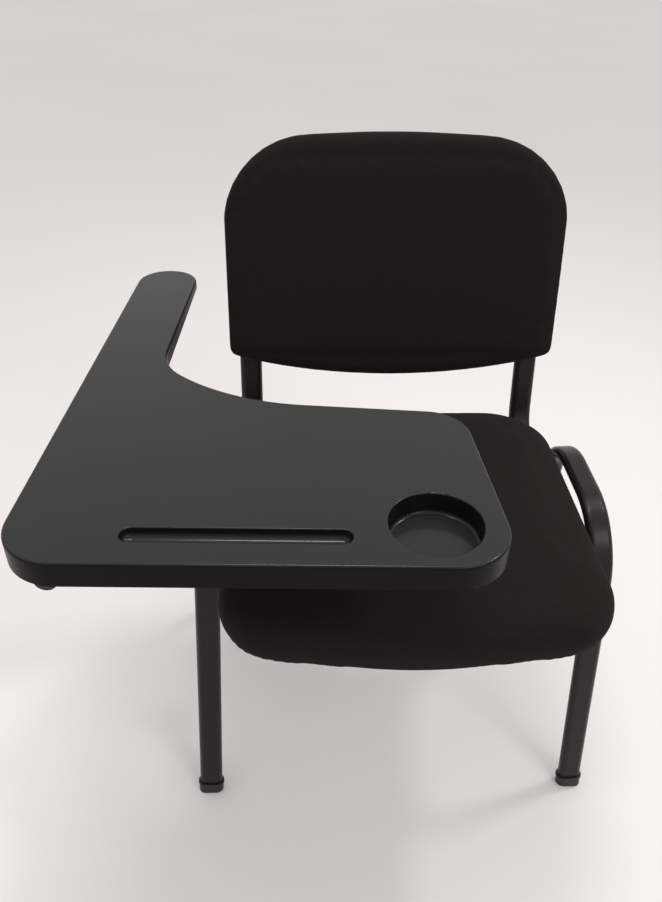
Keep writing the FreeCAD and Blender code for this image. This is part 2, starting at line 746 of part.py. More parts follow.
def back_shell():
    shell = curved_plate(BACK_SHELL_INSET, BACK_PAD + FIT, BACK_REAR)
    rear_face = max(shell.Faces, key=lambda face: face.CenterOfMass.y)
    shell = shell.makeFillet(BACK_SHELL_EDGE, rear_face.Edges)
    shell = shell.cut(curved_plate(BACK_SHELL_INSET + BACK_SHELL_WALL, 0, BACK_REAR - BACK_SHELL_WALL))
    for x in (PEG_HALF_SPREAD, -PEG_HALF_SPREAD):
        for rise in (PEG_LOW, PEG_HIGH):
            peg = rod(Vector(x, -BACK_REAR, rise), Vector(x, 2 * BACK_REAR, rise), PEG_RADIUS)
            wall_middle = BACK_REAR - BACK_SHELL_WALL / 2
            shell = shell.fuse(peg.common(front_of(wall_middle)).cut(front_of(BACK_PAD + FIT)))
    for side in (1, -1):
        low = Vector(side * UPRIGHT_HALF_SPREAD, post_centre(), 2 * BACK_BOTTOM)
        high = Vector(low.x, low.y, BACK_BOLT_LOW)
        width = TUBE_WIDTH + 2 * SLOT_PLAY
        shell = shell.cut(oval_bar(low, high, ACROSS, width, TUBE_THICK + 2 * SLOT_PLAY))
    return shell


def back_spacer(x, rise):
    front = Vector(x, -BACK_REAR, rise)
    rear = Vector(x, post_front(), rise)
    return ring(front, rear, SPACER_RADIUS, BOLT_RADIUS + BOLT_PLAY).cut(front_of(BACK_PAD))


def back_insert(x, rise):
    front = Vector(x, -BACK_REAR, rise)
    rear = Vector(x, BACK_REAR, rise)
    sleeve = ring(front, rear, INSERT_RADIUS, BOLT_RADIUS + FIT)
    return sleeve.common(front_of(BACK_PAD)).cut(front_of(BACK_PAD - BACK_BOARD_THICK))


def back_bolt(x, rise):
    seat = Vector(x, post_front() + TUBE_THICK, rise)
    reach = seat.y - (BACK_PAD - hollow_depth(x) - BACK_BOARD_THICK / 2)
    return hex_bolt(seat, Vector(0, -1, 0), reach)


# Writing tablet and hinge, built about the hinge line: X across from it, Y along it, Z from the floor

def hinge_place():
    return Placement(Vector(HINGE_X, 0, 0), Rotation(UP, -HINGE_TOE))


def on_hinge(along):
    return Vector(0, along, HINGE_HEIGHT)


def tablet_corners():
    return [(-ARM_OUTER, PANEL_FRONT_OUTER, PANEL_OUTER_CORNER),
            (PANEL_REACH_FRONT, PANEL_FRONT_INNER, PANEL_FRONT_CORNER),
            (PANEL_REACH_REAR, PANEL_REAR, PANEL_REAR_CORNER),
            (ELBOW_PANEL_REACH, ELBOW_PANEL, ELBOW_PANEL_RADIUS),
            (ARM_INNER, ELBOW_ARM, ELBOW_ARM_RADIUS),
            (ARM_INNER, ARM_REAR, ARM_END_RADIUS),
            (-ARM_OUTER, ARM_REAR, ARM_END_RADIUS)]


def front_edge(across):
    """Where the tablet's straight front edge lies at a distance across from the hinge line."""
    share = (across + ARM_OUTER) / (PANEL_REACH_FRONT + ARM_OUTER)
    return PANEL_FRONT_OUTER + share * (PANEL_FRONT_INNER - PANEL_FRONT_OUTER)


def groove_slot(margin, bottom, top):
    """Pen groove, parallel to the front edge."""
    middle = GROOVE_START + GROOVE_LENGTH / 2
    slope = math.atan2(PANEL_FRONT_INNER - PANEL_FRONT_OUTER, PANEL_REACH_FRONT + ARM_OUTER)
    slot = prism(oval(GROOVE_LENGTH + 2 * margin, GROOVE_WIDTH + 2 * margin), bottom, top)
    place = Vector(middle, front_edge(middle) + GROOVE_SETBACK, 0)
    return moved(slot, Placement(place, Rotation(UP, math.degrees(slope))))


def cup_well(margin, bottom, top):
    centre = Vector(CUP_REACH, front_edge(CUP_REACH) + CUP_SETBACK, bottom)
    return Part.makeCylinder(CUP_RADIUS + margin, top - bottom, centre)


def rib_pattern():
    low = TABLET_UNDER - RIB_HEIGHT
    ribs = []
    for index in range(RIB_COUNT):
        x = RIB_FIRST + index * RIB_PITCH
        ribs.append(block(Vector(x, -FAR, low), Vector(x + RIB_THICK, FAR, TABLET_UNDER)))
    for y in RIB_ROWS:
        ribs.append(block(Vector(RIB_FIRST, y, low), Vector(FAR, y + RIB_THICK, TABLET_UNDER)))
    return ribs


def block_pad(along):
    half = BLOCK_LENGTH / 2 + BLOCK_PAD_MARGIN
    wide = BLOCK_WIDTH / 2 + BLOCK_PAD_MARGIN
    return block(Vector(-wide, along - half, BLOCK_TOP), Vector(wide, along + half, TABLET_UNDER))


def screw_places(along):
    return [Vector(x, along + y, BLOCK_TOP) for x in (-SCREW_ACROSS, SCREW_ACROSS)
            for y in (-SCREW_ALONG, SCREW_ALONG)]


def screw_holes():
    tip = TABLET_TOP - SCREW_SKIN
    holes = []
    for along in (BLOCK_FRONT, BLOCK_REAR):
        for place in screw_places(along):
            start = place - UP * 2 * BLOCK_FLANGE
            holes.append(rod(start, Vector(place.x, place.y, tip), SCREW_RADIUS + FIT))
    return Part.makeCompound(holes)


def skirt_taper():
    """Wedge below the arm, where the skirt grows shallower to the rear."""
    full = Vector(0, PANEL_REAR, TABLET_TOP - TABLET_SKIRT)
    shallow = Vector(0, ARM_REAR, TABLET_TOP - ARM_END_SKIRT)
    wedge = Part.Face(Part.makePolygon([full, Vector(0, ARM_REAR, full.z), shallow, full]))
    return wedge.extrude(Vector(2 * FAR, 0, 0)).translated(Vector(-FAR, 0, 0))


def tablet_top():
    inner = inset(tablet_corners(), TABLET_WALL)
    shell = prism(tablet_corners(), TABLET_TOP - TABLET_SKIRT, TABLET_TOP)
    shell = shell.makeFillet(TABLET_EDGE, edges_at(shell, TABLET_TOP)).cut(skirt_taper())
    hollow = prism(inner, TABLET_TOP - 2 * TABLET_SKIRT, TABLET_UNDER)
    shell = shell.cut(hollow)
    groove_under = groove_slot(CUP_WALL, TABLET_TOP - GROOVE_DEPTH - CUP_WALL, TABLET_UNDER)
    cup_under = cup_well(CUP_WALL, TABLET_TOP - CUP_DEPTH - CUP_WALL, TABLET_UNDER)
    inside = rib_pattern() + [groove_under, cup_under, block_pad(BLOCK_FRONT), block_pad(BLOCK_REAR)]
    shell = shell.fuse([piece.common(hollow) for piece in inside]).removeSplitter()
    groove = groove_slot(0, TABLET_TOP - GROOVE_DEPTH, TABLET_TOP)
    groove = groove.makeFillet(GROOVE_FLOOR_ROUND, edges_at(groove, TABLET_TOP - GROOVE_DEPTH))
    cup = cup_well(0, TABLET_TOP - CUP_DEPTH, TABLET_TOP)
    cup = cup.makeFillet(CUP_FLOOR_ROUND, edges_at(cup, TABLET_TOP - CUP_DEPTH))
    shell = shell.cut(groove).cut(cup)
    edge_reach = inset(tablet_corners(), TABLET_EDGE + TINY)
    flat = Part.Face(outline(edge_reach)).translated(Vector(0, 0, TABLET_TOP))
    rims = [edge for edge in edges_at(shell, TABLET_TOP)
            if flat.OuterWire.distToShape(edge)[0] > TABLET_EDGE / 2]
    shell = shell.makeFillet(RIM_ROUND, rims)
    return shell.cut(screw_holes())


def pivot_block(along):
    """Moulded block that hangs under the tablet and turns on the hinge tube."""
    low = along - BLOCK_LENGTH / 2
    high = along + BLOCK_LENGTH / 2
    wide = BLOCK_WIDTH / 2
    flange_low = BLOCK_TOP - BLOCK_FLANGE
    body = block(Vector(-wide, low, flange_low), Vector(wide, high, BLOCK_TOP))
    body = body.fuse(block(Vector(-BLOCK_RADIUS, low, HINGE_HEIGHT), Vector(BLOCK_RADIUS, high, BLOCK_TOP)))
    body = body.fuse(rod(on_hinge(low), on_hinge(high), BLOCK_RADIUS)).removeSplitter()
    body = body.cut(rod(on_hinge(low), on_hinge(high), HINGE_RADIUS + RUNNING_FIT))
    return body.cut(screw_holes())


def notch():
    """Sector in the rear block's end that the stop pin moves through as the tablet swings."""
    spare = math.degrees(math.asin((PIN_RADIUS + STOP_GAP) / HINGE_RADIUS))
    end = BLOCK_REAR + BLOCK_LENGTH / 2
    sector = Part.makeCylinder(2 * BLOCK_RADIUS, PIN_NOTCH, Vector(), UP, SWING + 2 * spare)
    start = Rotation(UP, -90 - SWING - spare)
    sector = moved(sector, Placement(Vector(), start))
    upright = facing(on_hinge(end), Vector(0, -1, 0), ACROSS)
    flange = block(Vector(-FAR, -FAR, BLOCK_TOP - BLOCK_FLANGE), Vector(FAR, FAR, FAR))
    return moved(sector, upright).cut(flange)


def pin_along():
    return BLOCK_REAR + BLOCK_LENGTH / 2 - PIN_NOTCH / 2


def stop_pin():
    middle = on_hinge(pin_along())
    inside = math.sqrt((HINGE_RADIUS - HINGE_WALL) ** 2 - PIN_RADIUS ** 2)
    return rod(middle - UP * PIN_REACH, middle + UP * (inside - FIT), PIN_RADIUS)


def hinge_tube():
    tube = ring(on_hinge(HINGE_FRONT), on_hinge(HINGE_REAR), HINGE_RADIUS, HINGE_RADIUS - HINGE_WALL)
    middle = on_hinge(pin_along())
    return tube.cut(rod(middle - UP * PIN_REACH, middle, PIN_RADIUS + FIT / 2))


def hinge_cap(along, outward):
    """Plug in one end of the hinge tube; outward is -1 at the front and 1 at the rear."""
    end = on_hinge(along)
    face = on_hinge(along + outward * CAP_HEAD)
    head = rod(end, face, CAP_RADIUS)
    rim = [edge for edge in head.Edges if abs(edge.CenterOfMass.y - face.y) < TINY]
    head = head.makeFillet(CAP_EDGE, rim)
    core = rod(end, on_hinge(along - outward * CAP_DEPTH), HINGE_RADIUS - HINGE_WALL - FIT)
    return head.fuse(core)


def pivot_screw(place):
    under = place - UP * BLOCK_FLANGE
    head = rod(under - UP * SCREW_HEAD_HEIGHT, under, SCREW_HEAD_RADIUS)
    shank = rod(under - UP, Vector(place.x, place.y, TABLET_TOP - SCREW_SKIN), SCREW_RADIUS)
    return head.fuse(shank).removeSplitter()


def tongue_height():
    return HINGE_HEIGHT + TONGUE_TOP


def rest_tongue():
    half = TONGUE_WIDTH / 2
    corners = [(0, TONGUE_ALONG - half, LEAST_RADIUS), (TONGUE_REACH, TONGUE_ALONG - half, TONGUE_ROUND),
               (TONGUE_REACH, TONGUE_ALONG + half, TONGUE_ROUND), (0, TONGUE_ALONG + half, LEAST_RADIUS)]
    plate = prism(corners, tongue_height() - TONGUE_THICK, tongue_height())
    plate = plate.cut(rod(on_hinge(HINGE_FRONT), on_hinge(HINGE_REAR), HINGE_RADIUS + FIT))
    centre = Vector(BUFFER_REACH, TONGUE_ALONG, 0)
    return plate.cut(rod(centre, centre + UP * FAR, BUFFER_STEM + FIT))


def rest_buffer():
    seat = Vector(BUFFER_REACH, TONGUE_ALONG, tongue_height())
    under = seat - UP * TONGUE_THICK
    body = rod(seat, Vector(seat.x, seat.y, TABLET_UNDER - STOP_GAP), BUFFER_RADIUS)
    stem = rod(under - UP, seat + UP, BUFFER_STEM)
    button = rod(under - UP * BUFFER_BUTTON_THICK, under, BUFFER_BUTTON)
    return body.fuse([stem, button]).removeSplitter()


# Post and plate on the right leg frame, in that leg frame's own plane

def arch_flat():
    """Start and end of the straight top of a leg frame."""
    front, front_top, rear_top, rear = leg_corners()
    start = corner_arc(front, front_top, rear_top, ARCH_BEND)[2]
    end = corner_arc(front_top, rear_top, rear, ARCH_BEND)[0]
    return start.y, end.y


def plate_middle():
    start, end = arch_flat()
    return Vector(0, (start + end) / 2, TUBE_THICK / 2)


def plate_bolts():
    step = Vector(0, PLATE_BOLT_SPACING / 2, 0)
    return [plate_middle() - step, plate_middle() + step]


def plate_holes():
    reach = UP * (TUBE_THICK + PLATE_THICK + BOLT_HEAD_HEIGHT)
    holes = [rod(place - reach, place + reach, BOLT_RADIUS + BOLT_PLAY) for place in plate_bolts()]
    return Part.makeCompound(holes)


def right_leg_frame():
    return leg_frame(-1).cut(moved(plate_holes(), leg_place(-1)))


def arm_plate():
    middle = plate_middle()
    half_width = PLATE_WIDTH / 2
    half_length = PLATE_LENGTH / 2
    corners = [(-half_width, middle.y - half_length, PLATE_CORNER),
               (half_width, middle.y - half_length, PLATE_CORNER),
               (half_width, middle.y + half_length, PLATE_CORNER),
               (-half_width, middle.y + half_length, PLATE_CORNER)]
    plate = prism(corners, middle.z, middle.z + PLATE_THICK)
    return moved(plate.cut(plate_holes()), leg_place(-1))


def arm_post():
    base = leg_place(-1).multVec(plate_middle() + UP * PLATE_THICK)
    along = (base.y) / math.cos(math.radians(HINGE_TOE))
    top = hinge_place().multVec(on_hinge(along))
    rise = (top - base).normalize()
    low = base - rise * 2 * POST_RADIUS
    high = top - rise * POST_STOP
    post = ring(low, high, POST_RADIUS, POST_RADIUS - POST_WALL)
    envelope = rod(on_hinge(HINGE_FRONT), on_hinge(HINGE_REAR), HINGE_RADIUS + FIT)
    floor = block(Vector(-FAR, -FAR, -FAR), Vector(FAR, FAR, plate_middle().z + PLATE_THICK))
    return post.cut(moved(envelope, hinge_place())).cut(moved(floor, leg_place(-1)))


def arm_bolt(place):
    length = PLATE_THICK + TUBE_THICK + WASHER_THICK + NUT_HEIGHT + BOLT_TAIL
    return moved(hex_bolt(place + UP * PLATE_THICK, -UP, length), leg_place(-1))


def arm_washer(place):
    top = place - UP * TUBE_THICK
    return moved(ring(top - UP * WASHER_THICK, top, WASHER_RADIUS, BOLT_RADIUS + BOLT_PLAY), leg_place(-1))


def arm_nut(place):
    top = place - UP * (TUBE_THICK + WASHER_THICK)
    nut = hexagon(top, -UP, BOLT_HEAD_ACROSS, NUT_HEIGHT)
    return moved(nut.cut(rod(top + UP, top - UP * 2 * NUT_HEIGHT, BOLT_RADIUS + FIT)), leg_place(-1))


# All pieces, by name

def group(shapes):
    return Part.makeCompound(shapes)


def frame_pieces():
    pieces = {
        "left_leg_frame": leg_frame(1),
        "right_leg_frame": right_leg_frame(),
        "front_cross_rail": cross_rail("front"),
        "rear_cross_rail": cross_rail("rear"),
        "left_back_upright": back_upright(1),
        "right_back_upright": back_upright(-1),
        "rail_plugs": group([rail_plug(1), rail_plug(-1)]),
    }
    for name, side in (("left", 1), ("right", -1)):
        for end in ("front", "rear"):
            pieces[f"{end}_{name}_foot"] = foot(side, end)
    return pieces


def seat_pieces():
    places = seat_bolt_places()
    return {
        "seat_pan": seat_pan(),
        "seat_board": seat_board(),
        "seat_foam": seat_foam(),
        "seat_cover": seat_cover(),
        "seat_tee_nuts": group([tee_nut(x, y) for x, y in places]),
        "seat_bolts": group([seat_bolt(x, y) for x, y in places]),
        "seat_washers": group([seat_washer(x, y) for x, y in places]),
    }


def back_pieces():
    places = back_bolt_places()
    pieces = {
        "back_board": back_board(),
        "back_foam": back_foam(),
        "back_cover": back_cover(),
        "back_shell": back_shell(),
        "back_spacers": group([back_spacer(x, rise) for x, rise in places]),
        "back_inserts": group([back_insert(x, rise) for x, rise in places]),
        "back_bolts": group([back_bolt(x, rise) for x, rise in places]),
    }
    return {name: moved(shape, back_place()) for name, shape in pieces.items()}


def tablet_pieces():
    screws = screw_places(BLOCK_FRONT) + screw_places(BLOCK_REAR)
    pieces = {
        "tablet_top": tablet_top(),
        "front_pivot_block": pivot_block(BLOCK_FRONT),
        "rear_pivot_block": pivot_block(BLOCK_REAR).cut(notch()),
        "pivot_screws": group([pivot_screw(place) for place in screws]),
        "hinge_tube": hinge_tube(),
        "front_hinge_cap": hinge_cap(HINGE_FRONT, -1),
        "rear_hinge_cap": hinge_cap(HINGE_REAR, 1),
        "stop_pin": stop_pin(),
        "rest_tongue": rest_tongue(),
        "rest_buffer": rest_buffer(),
    }
    return {name: moved(shape, hinge_place()) for name, shape in pieces.items()}


def arm_pieces():
    return {
        "arm_post": arm_post(),
        "arm_plate": arm_plate(),
        "arm_bolts": group([arm_bolt(place) for place in plate_bolts()]),
        "arm_washers": group([arm_washer(place) for place in plate_bolts()]),
        "arm_nuts": group([arm_nut(place) for place in plate_bolts()]),
    }


os.makedirs("parts", exist_ok=True)
for pieces in (frame_pieces(), seat_pieces(), back_pieces(), tablet_pieces(), arm_pieces()):
    for name, shape in pieces.items():
        shape.exportStep(f"parts/{name}.step")
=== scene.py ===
import math
import bmesh
import bpy
import numpy as np
from mathutils import Matrix, Vector


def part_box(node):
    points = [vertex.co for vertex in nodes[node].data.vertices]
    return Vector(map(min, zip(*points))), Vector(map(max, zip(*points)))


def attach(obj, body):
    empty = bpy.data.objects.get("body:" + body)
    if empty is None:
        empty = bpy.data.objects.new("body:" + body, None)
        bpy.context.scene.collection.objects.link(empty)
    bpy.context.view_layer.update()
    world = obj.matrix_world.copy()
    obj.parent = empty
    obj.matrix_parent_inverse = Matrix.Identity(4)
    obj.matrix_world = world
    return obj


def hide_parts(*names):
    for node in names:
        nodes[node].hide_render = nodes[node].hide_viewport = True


# Tablet arm chair, in metres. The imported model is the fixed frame; the sections below follow the chair as
# it is put together: tube frame and welds, mouldings, fasteners, boards, seat, back and tablet with its
# buffer, then the studio around it.
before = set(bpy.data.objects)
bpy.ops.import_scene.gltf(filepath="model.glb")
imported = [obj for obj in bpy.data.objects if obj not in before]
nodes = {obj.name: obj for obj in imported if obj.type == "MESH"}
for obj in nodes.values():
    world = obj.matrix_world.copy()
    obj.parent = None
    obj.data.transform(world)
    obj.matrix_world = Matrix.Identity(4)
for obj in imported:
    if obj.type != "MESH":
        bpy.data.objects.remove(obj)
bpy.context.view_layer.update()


# Tube frame: two bent leg frames, two cross rails, two back uprights, and the arm that holds the
# tablet. Steel tube, welded and powder coated satin black. The baked coat is slightly orange-peeled,
# a little cloudy in its gloss, and polished where hands and shoes rub it.

COAT_DARK = (0.0092, 0.0082, 0.0060, 1)
COAT_LIGHT = (0.0172, 0.0154, 0.0114, 1)
COAT_PEEL = 0.00012


class Value:
    """A socket of a material's nodes. Arithmetic on it adds Math nodes."""

    def __init__(self, tree, socket):
        self.tree = tree
        self.socket = socket

    def make(self, kind, settings, inputs, output=0):
        """Adds a node: its settings first, then the values or links of its sockets."""
        node = self.tree.nodes.new(kind)
        for name, value in settings.items():
            setattr(node, name, value)
        for name, value in inputs.items():
            if isinstance(value, Value):
                self.tree.links.new(value.socket, node.inputs[name])
            else:
                node.inputs[name].default_value = value
        return Value(self.tree, node.outputs[output])

    def maths(self, operation, first, second=0.0):
        return self.make("ShaderNodeMath", {"operation": operation}, {0: first, 1: second})

    def __add__(self, other):
        return self.maths("ADD", self, other)

    def __radd__(self, other):
        return self.maths("ADD", other, self)

    def __sub__(self, other):
        return self.maths("SUBTRACT", self, other)

    def __rsub__(self, other):
        return self.maths("SUBTRACT", other, self)

    def __mul__(self, other):
        return self.maths("MULTIPLY", self, other)

    def __rmul__(self, other):
        return self.maths("MULTIPLY", other, self)

    def sine(self):
        return self.maths("SINE", self)

    def larger(self, other):
        return self.maths("MAXIMUM", self, other)

    def part(self, axis):
        """One axis of a vector, X, Y or Z."""
        return self.make("ShaderNodeSeparateXYZ", {}, {0: self}, axis)

    def noise(self, scale, detail=2.0, roughness=0.5):
        return self.make("ShaderNodeTexNoise", {}, {"Vector": self, "Scale": scale, "Detail": detail,
                                                    "Roughness": roughness})

    def ramp(self, low, high):
        """0 below low and 1 above high."""
        return self.make("ShaderNodeMapRange", {"clamp": True},
                         {"Value": self, "From Min": low, "From Max": high})

    def between(self, first, second):
        """The colour at this share of the way from the first colour to the second."""
        return self.make("ShaderNodeMix", {"data_type": "RGBA"}, {0: self, 6: first, 7: second}, 2)

    def relief(self, distance, strength=1.0, under=None):
        """A Bump node with this value as its height in metres."""
        inputs = {"Height": self, "Distance": distance, "Strength": strength}
        if under is not None:
            inputs["Normal"] = under
        return self.make("ShaderNodeBump", {}, inputs)


def finish(name, constants):
    """A new material with its constants set on the shader. Gives the material, its Object coordinates
    and a function that feeds a socket of the shader."""
    made = bpy.data.materials.new(name)
    made.use_nodes = True
    tree = made.node_tree
    shader = tree.nodes["Principled BSDF"]
    for socket, value in constants.items():
        shader.inputs[socket].default_value = value

    def feed(socket, value):
        tree.links.new(value.socket, shader.inputs[socket])

    place = Value(tree, tree.nodes.new("ShaderNodeTexCoord").outputs["Object"])
    return made, place, feed


def dress(made, *names):
    for name in names:
        for slot in nodes[name].material_slots:
            slot.material = made


powder_coat, place, feed = finish("satin_powder_coat", {"Specular IOR Level": 0.23})
cloud = place.noise(11.0, detail=3.0)
peel = place.noise(420.0)
speck = place.noise(2600.0, detail=1.0)
rubbed = place.noise(38.0, detail=5.0, roughness=0.65).ramp(0.62, 0.78)
feed("Base Color", (cloud * 0.6 + speck * 0.4).between(COAT_DARK, COAT_LIGHT))
feed("Roughness", 0.20 + cloud * 0.10 + speck * 0.05 - rubbed * 0.04)
feed("Normal", (peel * 0.75 + speck * 0.25).relief(COAT_PEEL, strength=0.5))
dress(powder_coat, "left_leg_frame", "right_leg_frame", "front_cross_rail", "rear_cross_rail",
      "left_back_upright", "right_back_upright", "arm_post", "arm_plate", "hinge_tube", "rest_tongue")


# Welds: rings of weld metal close the joints where the cross rails run into the legs and where the arm
# post stands on its plate. They are laid by hand in small overlapping ripples, before the frame is coated.

BEAD_RADIUS = 0.0018
BEAD_SIDES = 10
BEAD_STEPS = 96
RIPPLE_LENGTH = 0.0019
RIPPLE_HEIGHT = 0.00022
RAIL_ROUND = 0.0066
RAIL_STRAIGHT = 0.0065
RAIL_STRAIGHT_CUTS = 14
RAIL_END = 0.2201
RAIL_HEIGHT = 0.355
FRONT_RAIL_PLACE = -0.0577
FRONT_LEG_LEAN = 0.1135
REAR_RAIL_PLACE = 0.1689
REAR_LEG_LEAN = -0.271
LEG_SPLAY = -0.057
LEG_NOSE = 0.0075
NOSE_REACH = 0.93 * LEG_NOSE
MIDDLE_WIDTH = 1e-5
POST_ROUND = 0.0104
POST_STRETCH = 1.1
POST_FOOT = (-0.23145, 0.0554, 0.4377)
PLATE_SLOPE = -0.045


def points_of(mesh):
    points = np.empty(len(mesh.vertices) * 3)
    mesh.vertices.foreach_get("co", points)
    return points.reshape(-1, 3)


def set_points(mesh, points):
    mesh.vertices.foreach_set("co", points.ravel())
    mesh.update()


def normals_of(mesh):
    normals = np.empty(len(mesh.vertices) * 3)
    mesh.vertices.foreach_get("normal", normals)
    return normals.reshape(-1, 3)


def pick_edges(piece, wanted):
    """In edit mode, selects the edges whose two ends pass the test."""
    bpy.ops.object.mode_set(mode="EDIT")
    bpy.ops.mesh.select_mode(type="EDGE")
    bpy.ops.mesh.select_all(action="DESELECT")
    shape = bmesh.from_edit_mesh(piece.data)
    for edge in shape.edges:
        edge.select_set(wanted(edge.verts[0].co, edge.verts[1].co))
    bmesh.update_edit_mesh(piece.data)


def smooth_shaded(piece):
    piece.data.polygons.foreach_set("use_smooth", [True] * len(piece.data.polygons))


def bead(name, radius, turn):
    """A plain ring of weld metal at the origin."""
    bpy.ops.object.select_all(action="DESELECT")
    bpy.ops.mesh.primitive_torus_add(major_radius=radius, minor_radius=BEAD_RADIUS, major_segments=BEAD_STEPS,
                                     minor_segments=BEAD_SIDES, rotation=turn)
    ring = bpy.context.active_object
    ring.name = name
    bpy.ops.object.transform_apply(location=False, rotation=True, scale=False)
    return ring


def rippled(piece, run):
    """The ring's points, raised and lowered along the run of the weld."""
    ripple = RIPPLE_HEIGHT * np.cos(2 * math.pi * run / RIPPLE_LENGTH)
    return points_of(piece.data) + normals_of(piece.data) * ripple[:, None]


def coated_weld(piece):
    smooth_shaded(piece)
    piece.data.materials.append(powder_coat)
    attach(piece, "frame")


for end, rail_place, lean in (("front", FRONT_RAIL_PLACE, FRONT_LEG_LEAN),
                              ("rear", REAR_RAIL_PLACE, REAR_LEG_LEAN)):
    left_weld = bead(end + "_left_rail_weld", RAIL_ROUND, turn=(0, math.pi / 2, 0))
    pick_edges(left_weld, lambda first, second: min(first.z, second.z) > MIDDLE_WIDTH)
    bpy.ops.transform.translate(value=(0, 0, RAIL_STRAIGHT))
    pick_edges(left_weld, lambda first, second: max(first.z, second.z) < -MIDDLE_WIDTH)
    bpy.ops.transform.translate(value=(0, 0, -RAIL_STRAIGHT))
    pick_edges(left_weld, lambda first, second: abs(first.z - second.z) > RAIL_STRAIGHT / 2)
    bpy.ops.mesh.subdivide(number_cuts=RAIL_STRAIGHT_CUTS)
    bpy.ops.object.mode_set(mode="OBJECT")
    points = points_of(left_weld.data)
    straight = np.clip(points[:, 2], -RAIL_STRAIGHT, RAIL_STRAIGHT)
    turned = np.arctan2(points[:, 2] - straight, abs(points[:, 1]))
    points = rippled(left_weld, straight + RAIL_ROUND * turned)
    beside = np.clip(points[:, 1] - lean * points[:, 2], -NOSE_REACH, NOSE_REACH)
    points[:, 0] += RAIL_END + LEG_NOSE - np.sqrt(LEG_NOSE ** 2 - beside ** 2) + LEG_SPLAY * points[:, 2]
    points += (0, rail_place, RAIL_HEIGHT)
    set_points(left_weld.data, points)
    right_weld = left_weld.copy()
    right_weld.data = left_weld.data.copy()
    right_weld.name = end + "_right_rail_weld"
    bpy.context.scene.collection.objects.link(right_weld)
    set_points(right_weld.data, points * (-1, 1, 1))
    right_weld.data.flip_normals()
    coated_weld(left_weld)
    coated_weld(right_weld)

post_weld = bead("arm_post_weld", POST_ROUND, turn=(0, 0, 0))
points = points_of(post_weld.data)
round_post = np.arctan2(points[:, 1], points[:, 0])
points = rippled(post_weld, POST_ROUND * round_post) * (POST_STRETCH, 1, 1)
points[:, 2] += PLATE_SLOPE * points[:, 0]
set_points(post_weld.data, points + POST_FOOT)
coated_weld(post_weld)


# Mouldings: feet, rail plugs, hinge caps, seat pan, back shell, spacers and pivot blocks, all injection
# moulded in black polypropylene. The moulds are spark-eroded, so the surface has a fine even grain, and
# the feet pick up floor dust and scuffs at their lower edge.

MOULD_DARK = (0.0105, 0.0105, 0.0102, 1)
MOULD_LIGHT = (0.020, 0.0199, 0.0192, 1)
MOULD_GRAIN = 0.00010
FLOOR_DUST = (0.075, 0.07, 0.063, 1)
SCUFF_FULL = 0.001
SCUFF_TOP = 0.012

moulded_black, place, feed = finish("moulded_black_plastic", {"Specular IOR Level": 0.45})
grain = place.noise(1500.0, detail=3.0, roughness=0.6)
patch = place.noise(26.0, detail=3.0)
near_floor = 1 - place.part("Z").ramp(SCUFF_FULL, SCUFF_TOP)
scuff = near_floor * place.noise(240.0, detail=4.0, roughness=0.7).ramp(0.48, 0.66)
skin = (patch * 0.7 + grain * 0.3).between(MOULD_DARK, MOULD_LIGHT)
feed("Base Color", (scuff * 0.5).between(skin, FLOOR_DUST))
feed("Roughness", 0.46 + patch * 0.1 + grain * 0.08 + scuff * 0.2)
feed("Normal", grain.relief(MOULD_GRAIN, strength=0.6))
dress(moulded_black, "front_left_foot", "rear_left_foot", "front_right_foot", "rear_right_foot", "rail_plugs",
      "front_hinge_cap", "rear_hinge_cap", "seat_pan", "back_shell", "back_spacers",
      "front_pivot_block", "rear_pivot_block")


# Fasteners: zinc-plated steel bolts, nuts, washers, tee nuts, inserts, screws and the stop pin, all
# bought in. The plating is bright with a faint blue-grey cloud and fine turning marks.

ZINC_DARK = (0.46, 0.47, 0.48, 1)
ZINC_LIGHT = (0.66, 0.66, 0.64, 1)
TURNING_MARKS = 0.00003

zinc, place, feed = finish("bright_zinc", {"Metallic": 1.0})
cloud = place.noise(160.0, detail=4.0)
marks = place.make("ShaderNodeTexWave", {"wave_type": "RINGS", "rings_direction": "Z"},
                   {"Vector": place, "Scale": 900.0, "Distortion": 2.0, "Detail": 2.0}, "Fac")
feed("Base Color", cloud.between(ZINC_DARK, ZINC_LIGHT))
feed("Roughness", 0.26 + cloud * 0.2 + marks * 0.06)
feed("Normal", marks.relief(TURNING_MARKS, strength=0.4))
dress(zinc, "seat_tee_nuts", "seat_bolts", "seat_washers", "back_inserts", "back_bolts", "arm_bolts",
      "arm_washers", "arm_nuts", "pivot_screws", "stop_pin")


# Boards: seat and back are built on birch plywood, flat under the seat and pressed to a curve in the
# back. The plies show as pale and dark bands on the edge, and long grain runs across the faces.

WOOD_DARK = (0.42, 0.27, 0.13, 1)
WOOD_LIGHT = (0.66, 0.49, 0.29, 1)
DARK_PLY = (0.30, 0.17, 0.08, 1)
WOOD_GRAIN = 0.0002

plywood, place, feed = finish("raw_plywood", {"Specular IOR Level": 0.3})
streaks = place.make("ShaderNodeMapping", {}, {"Vector": place, "Scale": (3.0, 60.0, 60.0)})
grain = streaks.noise(6.0, detail=6.0, roughness=0.6)
plies = place.make("ShaderNodeTexWave", {"wave_type": "BANDS", "bands_direction": "Z"},
                   {"Vector": place, "Scale": 130.0, "Distortion": 0.4}, "Fac")
feed("Base Color", (plies * 0.3).between(grain.between(WOOD_DARK, WOOD_LIGHT), DARK_PLY))
feed("Roughness", 0.6 + grain * 0.2)
feed("Normal", grain.relief(WOOD_GRAIN, strength=0.5))
dress(plywood, "seat_board", "back_board")


# Seat cushion: a slab of moulded foam on the seat board, covered in black woven upholstery cloth that
# is pulled tight over the edges and stapled under the board. The cloth swells a little over the foam,
# pulls in along its lower edge, wraps under the board and gathers in small tucks round the corners.

